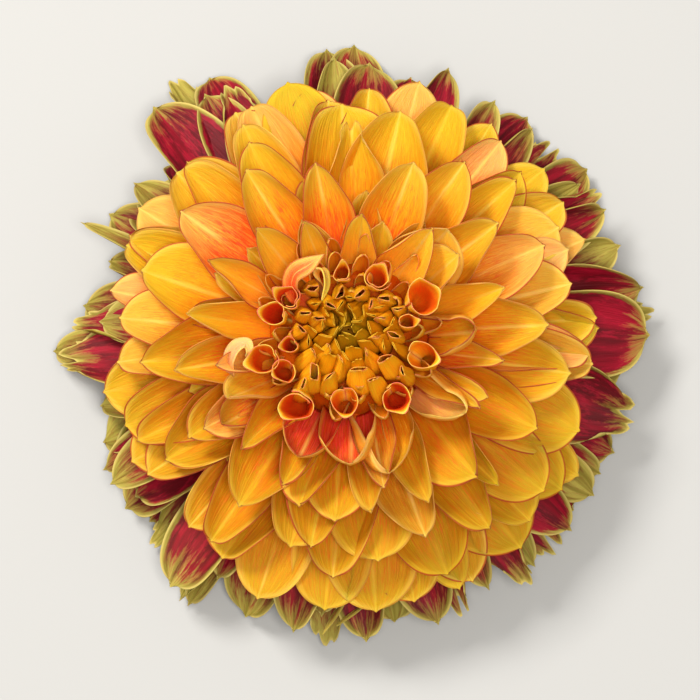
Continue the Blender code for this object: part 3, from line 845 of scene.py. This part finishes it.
def crimson_material():
    t = Tree("crimson_petal")
    mix, step, lay = t.mix, t.step, t.lay
    along, edge, upper, olive = t.numbers("along", "edge_mm", "upper", "flush")
    broad, streak, fine = t.broad_streak_fine()
    mottle = t.pattern(6.0, 11.0, 53.0, 4.0, 0.7)
    t.body = mix(step(broad, 0.38, 0.66), (0.11, 0.001, 0.005), (0.31, 0.002, 0.016))
    lay(step(mottle, 0.48, 0.62) * 0.50, (0.44, 0.005, 0.028))
    lay(step(fine, 0.50, 0.70) * 0.5, (0.10, 0.001, 0.004))
    lay(step(olive, 0.4, 0.9) * 0.55, (0.20, 0.035, 0.012))
    # Olive and straw margins run back into the red in streaks.
    rough = (mottle * 0.7 + streak * 0.3 - 0.5) * 0.50
    start = 1.09 - olive * 0.22
    tip = step(along + rough, start - 0.07, start + 0.05)
    wide = olive * 1.6 + 0.9
    side = 1.0 - step(edge + rough * 8.0, wide * 0.4, wide)
    green = mix(step(broad, 0.35, 0.65), (0.24, 0.19, 0.022), (0.42, 0.35, 0.060))
    green = mix(step(mottle, 0.52, 0.64) * 0.45, green, (0.22, 0.06, 0.014))
    green = mix((1.0 - step(edge, 0.1, 0.8)) * 0.75, green, (0.68, 0.54, 0.15))
    cover = t.maths("MAXIMUM", tip, side * step(along, 0.5, 0.75))
    lay(cover * 0.94, green)
    back = mix(step(streak, 0.42, 0.62), (0.22, 0.17, 0.012), (0.26, 0.030, 0.016))
    back = mix((1.0 - step(edge, 0.1, 0.9)) * 0.7, back, (0.52, 0.40, 0.06))
    t.bump(fine + streak * 0.5 + mottle * 0.5, 0.5, 0.0003)
    return t.finish(mix(1.0 - upper, t.body, back), streak * 0.2 + 0.44,
                    subsurface=0.04, radius=(1.0, 0.2, 0.1), specular=0.18)


def bud_material():
    t = Tree("green_gold_bud")
    mix, step, lay = t.mix, t.step, t.lay
    along, edge, hue, upper = t.numbers("along", "edge_mm", "hue", "upper")
    broad, streak, fine = t.broad_streak_fine()
    # Darker olive where hue is low, in the middle of the eye: partly the buds' green and partly painted shade
    # of the hollow.
    t.body = mix(step(hue + broad * 0.4, 0.15, 0.9), (0.28, 0.20, 0.004), (0.68, 0.28, 0.003))
    # Painted shade at the base of each bud, down in the eye, and on the plug.
    lay(1.0 - step(along, 0.80, 0.95), (0.26, 0.10, 0.001))
    lay(step(fine, 0.50, 0.66) * 0.45, (0.60, 0.18, 0.002))
    lay(upper * 0.75, (0.50, 0.10, 0.002))
    lay((1.0 - step(edge, 0.15, 0.8)) * 0.55, (0.90, 0.56, 0.04))
    t.bump(fine + streak, 0.4, 0.0002)
    return t.finish(t.body, 0.6, subsurface=0.06, radius=(1.0, 0.5, 0.1), specular=0.06)


def green_material():
    t = Tree("green_flesh")
    broad, streak, fine = t.broad_streak_fine()
    t.body = t.mix(t.step(broad, 0.35, 0.65), (0.10, 0.20, 0.03), (0.24, 0.34, 0.08))
    t.lay(t.step(fine, 0.5, 0.7) * 0.5, (0.05, 0.11, 0.02))
    t.bump(fine + streak, 0.5, 0.0003)
    return t.finish(t.body, 0.5, subsurface=0.08)


def papery_material():
    t = Tree("papery_bract")
    broad, streak, fine = t.broad_streak_fine()
    t.body = t.mix(t.step(streak, 0.35, 0.65), (0.30, 0.24, 0.07), (0.42, 0.36, 0.13))
    t.lay(t.step(fine, 0.55, 0.7) * 0.6, (0.20, 0.11, 0.04))
    t.bump(fine + streak, 0.6, 0.0003)
    return t.finish(t.body, 0.7, subsurface=0.05)


def placed(px, py, width_px, rolls, arches, tilt=None):
    """A floret with its tip at a pixel of the photograph."""
    azimuth, lean, reach = on_dome(px, py, tilt)
    share = min(max((math.degrees(lean) - GOLD.tilt[0]) / (GOLD.tilt[1] - GOLD.tilt[0]), 0.0), 1.0)
    return Floret(azimuth, lean, math.radians(between(arches, min(share * 2, 1))), reach,
                  width_px * PIXEL * WIDTH_GAIN, math.radians(between(rolls, share)), 0.3, 0.0, share)


def set_apart(petals):
    """Bows the bodies of petals that overlap side by side, the one nearer the eye over the other, and
    flattens the side of the lower one that lies under the other. Gives the petals and both sides."""
    lean = np.array([math.degrees(p.tilt) for p in petals])
    turn = np.array([p.azimuth for p in petals])
    spread = np.array([p.width / 2 / (p.reach * max(math.sin(p.tilt), 0.3)) for p in petals])
    arch = np.array([math.degrees(p.arch) for p in petals])
    ahead = (turn[None, :] - turn[:, None] + math.pi) % math.tau - math.pi
    apart = np.abs(ahead) / (spread[:, None] + spread[None, :])
    below = lean[None, :] - lean[:, None] + 0.001 * np.arange(len(petals))
    near = (apart < 0.85) & (below > 0) & (below < BODY_GAP + 4)
    for _ in range(ROUNDS):
        gap = below + (arch[:, None] - arch[None, :]) * BODY_SHARE
        short = np.where(near, np.maximum(BODY_GAP - gap, 0), 0)
        arch = np.clip(arch + SETTLING * short.sum(1) - SETTLING * short.sum(0), *ARCH_LIMITS)
    # The lower petal's right side lies under those that stand behind it in azimuth.
    beside = near & (apart > 0.2) & (below < BODY_GAP + 2)
    right = np.where((beside & (ahead < 0)).any(0), FLATTENED, 1.0)
    left = np.where((beside & (ahead > 0)).any(0), FLATTENED, 1.0)
    return [p._replace(arch=math.radians(a)) for p, a in zip(petals, arch)], left, right


def painted_shade_share(floret):
    """Painted shade, 1 in front where the gold is darkened, to 0 at the back, and less near the eye, where
    below 0 it is painted light.
    """
    return float(smooth(0.25, -0.75, math.sin(floret.azimuth))) - float(smooth(0.35, 0.05, floret.rank))


def lean_in(degrees, py):
    return math.radians(degrees * (LOWER_BEND if py > LOWER_ROW else 1.0))


def drawn():
    """Nine draws between -1 and 1, and one of them between 0 and 1 for the material."""
    d = draws.uniform(-1, 1, 9)
    return d, (d[7] + 1) / 2


def open_petals(rings, cup_tips):
    """Adds the open gold petals and gives their florets. A petal of the solids takes a place that
    those read in the photograph leave, and isn't made where a cup stands."""
    petals = [placed(*tip, OPEN_ROLLS, OPEN_ARCHES) for *tip, flush, hue in GOLD_TIPS]
    looks = []
    for px, py, wide, flush, hue in GOLD_TIPS:
        lower_right = smooth(400, 500, px) * smooth(380, 460, py)
        looks.append((flush / 10 + 0.14 * smooth(380, 500, py), hue / 10 + 0.2 * lower_right))
    tips = [tip_of(floret) for floret in petals]
    for floret in gold:
        if nearest(tip_of(floret), tips) > SPACING:
            petals.append(floret._replace(reach=floret.reach * FILLER_REACH))
            looks.append((0.3 * (1 - floret.rank), 0.5))
    petals, lefts, rights = set_apart(petals)
    for number, (floret, (flush, hue), left, right) in enumerate(zip(petals, looks, lefts, rights)):
        d, draw = drawn()
        if number >= len(GOLD_TIPS) and nearest(tip_of(floret), cup_tips) < CUP_SPACING:
            continue
        shape = PLAIN._replace(
            narrow=0.52 + 0.06 * d[8], beak=0.46 + 0.16 * d[0], ridge=(0.28 + 0.06 * d[1]) * MM, phase=d[2],
            keel=0.19 + 0.06 * d[3], wave=(0.50 + 0.3 * d[3]) * MM, bow=math.radians(0.6 + 0.8 * d[4]),
            skew=math.radians(6) * d[6], notch=0.06 if number in GOLD_SPLIT else 0.0, left=left, right=right)
        grid = petal(floret._replace(twist=math.radians(3 + 2 * d[5])), shape, OPEN_BUILD)
        ring = rings[sum(floret.rank >= rank for rank in RING_RANKS)]
        ring.add(grid, draw, hue, flush, shade=painted_shade_share(floret))
    return petals


def young_petals(piece, petals, mouths):
    """Adds short young florets deep between the others, where no body lies near."""
    headings = [heading(floret) for floret in petals]
    for number in range(YOUNG_PLACES):
        share = number / YOUNG_PLACES
        floret = Floret(number * GOLDEN_ANGLE, math.radians(between(YOUNG_TILTS, share)), math.radians(4),
                        between(YOUNG_REACHES, share) * MM, YOUNG_WIDTH, math.radians(80), 0.3,
                        math.radians(3), 0.0)
        lone = max(np.dot(heading(floret), other) for other in headings) < YOUNG_SPACING
        if lone and nearest(tip_of(floret), mouths) > MOUTH_SPACING:
            headings.append(heading(floret))
            shape = PLAIN._replace(narrow=0.50, beak=0.4, ridge=0.24 * MM, phase=share, keel=0.19,
                                   wave=0.4 * MM)
            # Shade 0.5 paints these deep young florets darker, as painted shade.
            piece.add(petal(floret, shape, YOUNG_BUILD), draw=share, flush=0.4, shade=0.5)


def cups(piece, florets_of_cups):
    for floret, (px, py, wide, roll, fold, flush, tint) in zip(florets_of_cups, CUPS):
        d, draw = drawn()
        shape = PLAIN._replace(narrow=0.42, beak=0.25, ridge=0.16 * MM, phase=d[2], wave=0.3 * MM, fold=fold,
                               bow=math.radians(4), curl=0.35)
        piece.add(petal(floret, shape, CUP_BUILD), draw, hue=0.4, flush=flush, tint=tint)


def rolled_florets(piece):
    for px, py, size, turns, red in TUBES:
        d, draw = drawn()
        mouth = size * PIXEL * 0.98
        form = Tube(foot=1.2 * MM, belly=mouth * 0.90, mouth=mouth, belly_at=0.93, closing=1.0,
                    turns=turns, spiral=0.08 + 0.22 * (turns - 1), slant=0.055 + 0.02 * d[0],
                    bend=lean_in(6.0 + 2.0 * d[1], py), point=(2.0 + 0.7 * d[2]) * MM,
                    heart=0.22 + 0.18 * d[3], creases=3, first=d[4], flat=0.22 + 0.10 * d[5],
                    press=0.15 + 0.12 * d[4], way=1.5 * d[5], twist=0.0)
        piece.add(tube(*on_dome(px, py), form, TUBE_BUILD), draw, hue=0.5 + 0.5 * d[8],
                  flush=0.5 + 0.5 * red, tint=red)


def hoods(piece):
    for px, py, size, share in HOODS:
        d, draw = drawn()
        inward = 0.35 * size / math.hypot(px - EYE[0], py - EYE[1])
        place = on_dome(px + (EYE[0] - px) * inward, py + (EYE[1] - py) * inward)
        belly = size * PIXEL
        form = Tube(foot=1.2 * MM, belly=belly, mouth=belly * (0.36 + 0.55 * share), belly_at=0.86,
                    closing=1.15, turns=1.04, spiral=0.06, slant=0.02 + 0.02 * d[0],
                    bend=lean_in(8.0 + 2.0 * d[1], py), point=(2.6 + 0.8 * d[2]) * MM,
                    heart=0.2 * share, creases=3 + (d[6] > 0), first=2 * d[4], flat=0.62 + 0.2 * d[5],
                    press=0.90 - 0.75 * share, way=1.3 * d[3], twist=0.45 * d[8])
        piece.add(tube(*place, form, HOOD_BUILD), draw, hue=0.5 + 0.5 * d[8], flush=0.7, tint=0.35,
                  shade=1.0)


def deep_florets(piece):
    """Adds lower florets between the rolled and half-open ones, clear of their mouths."""
    mouths = []
    for px, py, size, *rest in TUBES + HOODS:
        azimuth, tilt, reach = on_dome(px, py)
        mouths.append((heading(Floret(azimuth, tilt, 0, 1, 0, 0, 0, 0, 0)), reach, size * PIXEL))
    for count, tilt, reach in DEEP_RINGS:
        for number in range(count):
            d, draw = drawn()
            deep = Floret(math.tau * (number + 0.3 * d[0]) / count, math.radians(tilt + 1.5 * d[1]),
                          math.radians(-16), (reach + d[2]) * MM, DEEP_WIDTH, math.radians(150), -0.3,
                          math.radians(12) * d[3], 0.0)
            if min(np.linalg.norm(heading(deep) - way) * out - size for way, out, size in mouths) > DEEP_GAP:
                shape = PLAIN._replace(phase=d[4], narrow=0.5, beak=0.4, ridge=0.2 * MM, bow=math.radians(2))
                piece.add(petal(deep, shape, DEEP_BUILD), draw, flush=0.8, tint=0.4)


def closed_buds(piece):
    for px, py, size in BUDS:
        d, draw = drawn()
        azimuth, tilt, reach = on_dome(px, py)
        # A low hue near the middle of the eye paints the bud darker olive, partly its green and partly
        # painted shade of the hollow eye.
        hue = min(math.hypot(px - EYE[0], py - EYE[1]) / EYE_RADIUS, 1.0)
        belly = size * PIXEL * 0.64
        form = Tube(foot=0.9 * MM, belly=belly, mouth=belly * 0.60, belly_at=0.85 + 0.03 * d[1], closing=1.0,
                    turns=1.04, spiral=0.05, slant=0.01, bend=lean_in(8.0 + 2.5 * d[0], py),
                    point=(2.4 + 1.0 * d[2]) * MM, heart=0.0, creases=3 + (d[6] > 0.3), first=2 * d[4],
                    flat=0.70 + 0.2 * d[5], press=0.88, way=1.1 * d[3], twist=0.5 * d[8])
        piece.add(tube(azimuth, tilt, reach * (0.985 + 0.015 * d[4]), form, BUD_BUILD), draw, hue, flush=0.2)


def crimson_petals(backs):
    """Adds the crimson petals, and those of the solids between them, to the high and low piece."""
    laid = []
    for number, (px, py, wide, lies_low, olive) in enumerate(CRIMSON_TIPS):
        tilt = math.radians(CRIMSON_TILTS[lies_low] + draws.uniform(-CRIMSON_STRAY, CRIMSON_STRAY))
        split = 0.09 if number in SPLIT else 0.0
        ragged = 0.026 if split or number in RAGGED else 0.0
        # A broad petal shows more of its width than a narrow one.
        floret = placed(px, py, wide * (1.45 - 0.0065 * wide), CRIMSON_ROLLS, CRIMSON_ARCHES, tilt)
        laid.append((floret, olive, split, ragged, lies_low))
    azimuths = [floret.azimuth for floret, *rest in laid]
    for floret in crimson:
        apart = min(abs((floret.azimuth - other + math.pi) % math.tau - math.pi) for other in azimuths)
        if apart > CRIMSON_SPACING or draws.uniform(-1, 1) > 0:
            reach = floret.reach * CRIMSON_REACH
            floret = floret._replace(reach=reach, width=floret.width * CRIMSON_WIDTH,
                                     tilt=min(CRIMSON_LIMIT, lowest_tilt(reach)))
            laid.append((floret, 0.5 + 0.4 * draws.uniform(-1, 1), 0.0, 0.0, 1))
    for floret, olive, split, ragged, lies_low in laid:
        d, draw = drawn()
        shape = PLAIN._replace(
            narrow=0.50 + 0.07 * d[0], mucro=1.4 * MM, beak=0.26 + 0.12 * d[0],
            ridge=(0.24 + 0.05 * d[1]) * MM, phase=d[2], wave=(0.6 + 0.3 * d[3]) * MM,
            bow=math.radians(1 + 2 * d[4]), skew=math.radians(9) * d[6],
            fold=0.5 * d[3] if d[3] > 0.6 else 0.0, notch=split, ragged=ragged, left=0.25, keel=0.14)
        grid = petal(floret._replace(twist=math.radians(8 + 2 * d[5])), shape, CRIMSON_BUILD)
        backs[lies_low].add(grid, draw, flush=olive)


def bracts(piece, family, build, ridge, mucro, wave):
    shape = PLAIN._replace(beak=0.0, ridge=ridge * MM, mucro=mucro * MM, wave=wave * MM)
    for bract in family:
        piece.add(petal(bract, shape, build), draw=bract.azimuth % 1)


def lay_floor(half=3.0):
    mesh = bpy.data.meshes.new("floor")
    corners = [(-half, -half, 0), (half, -half, 0), (half, half, 0), (-half, half, 0)]
    mesh.from_pydata(corners, [], [(0, 1, 2, 3)])
    mesh.materials.append(Tree("floor_paint").finish((0.46, 0.455, 0.44, 1.0), 0.7))
    floor = link("floor", mesh)


def light_room(colour=(1.0, 0.98, 0.95, 1.0), strength=0.42):
    world = bpy.data.worlds.new("studio")
    world.use_nodes = True
    background = world.node_tree.nodes["Background"]
    background.inputs["Color"].default_value = colour
    background.inputs["Strength"].default_value = strength
    bpy.context.scene.world = world


def soft_light(name, place, size, power, colour):
    lamp = bpy.data.lights.new(name, "AREA")
    lamp.shape = "SQUARE"
    lamp.size = size
    lamp.energy = power
    lamp.color = colour
    made = link(name, lamp)
    made.location = place
    made.rotation_euler = (Vector(place) - Vector((0, 0, 0.03))).to_track_quat("Z", "Y").to_euler()


def set_camera(sensor=36.0):
    data = bpy.data.cameras.new("camera")
    camera = link("camera", data)
    bpy.context.scene.camera = camera
    camera.location = camera_place
    camera.rotation_euler = Matrix((camera_right, camera_up, camera_back)).transposed().to_euler()
    data.sensor_width = sensor
    data.lens = sensor * DISTANCE / (2 * HALF_PHOTO * PIXEL)
    data.clip_start = 0.01
    bpy.context.scene.view_settings.view_transform = "Standard"


# The florets of the solids, with their draws.
rng = np.random.default_rng(SEED)
rng.uniform(-1, 1, (INNER_FLORETS, 5))
gold = florets(GOLD, INNER_FLORETS, rng)
crimson = florets(CRIMSON, INNER_FLORETS + GOLD.count, rng)
papery = florets(PAPERY, 0, rng, math.tau / PAPERY.count)
green = florets(GREEN, 0.5, rng, math.tau / GREEN.count)

# The florets of the scene, in the order of their draws.
draws = np.random.default_rng(SEED + 1)
rings, backs = [Piece(), Piece(), Piece()], [Piece(), Piece()]
tubes, buds, brown, stalk = Piece(), Piece(), Piece(), Piece()
cup_florets = [placed(px, py, wide, (roll, roll), CUP_ARCHES) for px, py, wide, roll, *rest in CUPS]
cup_tips = [tip_of(floret) for floret in cup_florets]
tube_tips = [tip_of(placed(px, py, 0, (1, 1), (0, 0))) for px, py, *rest in TUBES]
opened = open_petals(rings, cup_tips)
# The core's low along gives it the painted shade of the petals' roots.
rings[0].turned(CORE, steps=48, along=0.1, hue=0.8, flush=0.2)
young_petals(rings[0], opened, tube_tips + cup_tips)
cups(rings[0], cup_florets)
rolled_florets(tubes)
hoods(tubes)
deep_florets(tubes)
for path, hue, flush, tint in RIBBONS:
    rings[0].add(ribbon(path, RIBBON_BUILD), draw=path[0][0] % 7 / 7, hue=hue, flush=flush, tint=tint)
closed_buds(buds)
# The plug's low along gives it the painted shade of the buds' base.
buds.turned(PLUG, steps=40, along=0.1, upper=0)
crimson_petals(backs)
for path, olive in BACK_RIBBONS:
    backs[1].add(ribbon(path, BACK_RIBBON_BUILD, BACK_RIBBON_TILT), draw=0.4, flush=olive)
backs[1].turned(DISC, steps=64, along=0.3)
bracts(brown, papery, PAPERY_BUILD, ridge=0.1, mucro=0.5, wave=0.15)
brown.turned(COLLAR, steps=64, along=0.3)
bracts(stalk, green, GREEN_BUILD, ridge=0.2, mucro=0.3, wave=0.3)
stalk.turned(STEM, steps=64, along=0.5, from_heart=-HEART_Z / MM)

gold_skin, crimson_skin = gold_material(), crimson_material()
for name, piece in zip(("gold_petals_inner", "gold_petals_middle", "gold_petals_outer"), rings):
    piece.make(name, gold_skin, ["gold_petals"], "gold_petal")
tubes.make("rolled_petals", rolled_material(), ["gold_petals"], "gold_petal")
buds.make("eye_buds", bud_material(), ["centre_buds"], "green_gold_bud")
backs[0].make("crimson_petals_upper", crimson_skin, ["crimson_petals"], "crimson_petal")
backs[1].make("crimson_petals_lower", crimson_skin, ["crimson_petals"], "crimson_petal")
brown.make("calyx_papery", papery_material(), ["papery_bracts"], "papery_bract")
stalk.make("stem_and_calyx", green_material(), ["stem_and_green_bracts"], "green_flesh")

lay_floor()
light_room()
soft_light("key", (-0.44, 0.48, 1.00), 0.32, 12.5, (1.0, 0.98, 0.95))
soft_light("fill", (0.12, -0.18, 1.25), 0.36, 11.0, (1.0, 0.98, 0.94))
set_camera()
